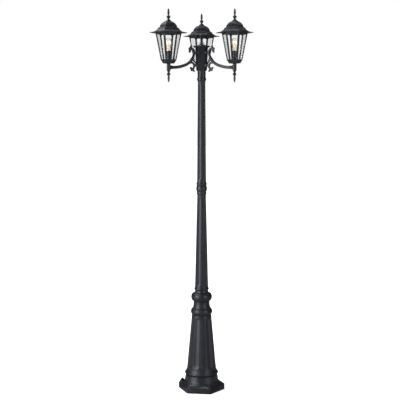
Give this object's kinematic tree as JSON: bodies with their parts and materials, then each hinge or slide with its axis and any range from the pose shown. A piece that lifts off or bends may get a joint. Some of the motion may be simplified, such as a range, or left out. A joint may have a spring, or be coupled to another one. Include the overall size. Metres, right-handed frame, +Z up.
{
  "type": "garden lamp post",
  "caption": "Garden lamp post with a fluted taper on a hexagonal foot, scroll arms from a hexagonal hub and six-sided glazed lanterns with clear lamps.",
  "frame": {"origin": "the shaft's axis at the underside of the foot, where it stands on the ground", "axes": "+Z up along the shaft, +Y towards the back lantern, +X to the right as seen from the front"},
  "size_m": [0.5774, 0.5145, 2.2],
  "materials": {
    "black_powder_coat": "satin",
    "black_steel": "satin",
    "zinc_steel": "satin",
    "pane_glass": "gloss",
    "lampholder_plastic": "matte",
    "lamp_cap_metal": "satin",
    "lamp_glass": "gloss",
    "terminal_plastic": "matte"
  },
  "bodies": {
    "post": {"foot": "black_powder_coat", "anchor_washers": "black_steel", "anchor_nuts": "black_steel", "pedestal": "black_powder_coat", "pedestal_collar": "black_powder_coat", "lower_coupling": "zinc_steel", "lower_shaft": "black_powder_coat", "mid_coupling": "zinc_steel", "mid_collar": "black_powder_coat", "upper_shaft": "black_powder_coat", "shaft_neck": "black_powder_coat", "hub": "black_powder_coat", "hub_bridge": "zinc_steel", "terminal_block": "terminal_plastic", "cap_stud": "zinc_steel", "hub_cap": "black_powder_coat", "cap_finial": "black_powder_coat", "arm_left": "black_powder_coat", "arm_right": "black_powder_coat", "arm_back": "black_powder_coat", "arm_screws": "zinc_steel"},
    "right_head": {"stem_right": "zinc_steel", "lower_finial_right": "black_powder_coat", "cup_right": "black_powder_coat", "lock_nut_right": "zinc_steel", "cage_right": "black_powder_coat", "panes_right": "pane_glass", "lampholder_right": "lampholder_plastic", "candle_sleeve_right": "black_powder_coat"},
    "right_roof": {"roof_right": "black_powder_coat", "roof_finial_right": "black_powder_coat"},
    "right_lamp": {"bulb_cap_right": "lamp_cap_metal", "bulb_glass_right": "lamp_glass"},
    "back_head": {"stem_back": "zinc_steel", "lower_finial_back": "black_powder_coat", "cup_back": "black_powder_coat", "lock_nut_back": "zinc_steel", "cage_back": "black_powder_coat", "panes_back": "pane_glass", "lampholder_back": "lampholder_plastic", "candle_sleeve_back": "black_powder_coat"},
    "back_roof": {"roof_back": "black_powder_coat", "roof_finial_back": "black_powder_coat"},
    "back_lamp": {"bulb_cap_back": "lamp_cap_metal", "bulb_glass_back": "lamp_glass"},
    "left_head": {"stem_left": "zinc_steel", "lower_finial_left": "black_powder_coat", "cup_left": "black_powder_coat", "lock_nut_left": "zinc_steel", "cage_left": "black_powder_coat", "panes_left": "pane_glass", "lampholder_left": "lampholder_plastic", "candle_sleeve_left": "black_powder_coat"},
    "left_roof": {"roof_left": "black_powder_coat", "roof_finial_left": "black_powder_coat"},
    "left_lamp": {"bulb_cap_left": "lamp_cap_metal", "bulb_glass_left": "lamp_glass"}
  },
  "joints": [
    {"name": "right_swivel", "type": "hinge", "parent": "post", "child": "right_head", "pos_m": [0.18446, -0.1065, 1.9], "axis": [0, 0, 1], "range_deg": [-90, 90]},
    {"name": "right_roof_lift", "type": "slide", "parent": "right_head", "child": "right_roof", "axis": [0, 0, 1], "range_m": [0, 0.12]},
    {"name": "right_lamp_screw", "type": "hinge", "parent": "right_head", "child": "right_lamp", "pos_m": [0.18446, -0.1065, 1.95], "axis": [0, 0, 1], "continuous": true},
    {"name": "back_swivel", "type": "hinge", "parent": "post", "child": "back_head", "pos_m": [0, 0.213, 1.9], "axis": [0, 0, 1], "range_deg": [-90, 90]},
    {"name": "back_roof_lift", "type": "slide", "parent": "back_head", "child": "back_roof", "axis": [0, 0, 1], "range_m": [0, 0.12]},
    {"name": "back_lamp_screw", "type": "hinge", "parent": "back_head", "child": "back_lamp", "pos_m": [0, 0.213, 1.95], "axis": [0, 0, 1], "continuous": true},
    {"name": "left_swivel", "type": "hinge", "parent": "post", "child": "left_head", "pos_m": [-0.18446, -0.1065, 1.9], "axis": [0, 0, 1], "range_deg": [-90, 90]},
    {"name": "left_roof_lift", "type": "slide", "parent": "left_head", "child": "left_roof", "axis": [0, 0, 1], "range_m": [0, 0.12]},
    {"name": "left_lamp_screw", "type": "hinge", "parent": "left_head", "child": "left_lamp", "pos_m": [-0.18446, -0.1065, 1.95], "axis": [0, 0, 1], "continuous": true}
  ]
}
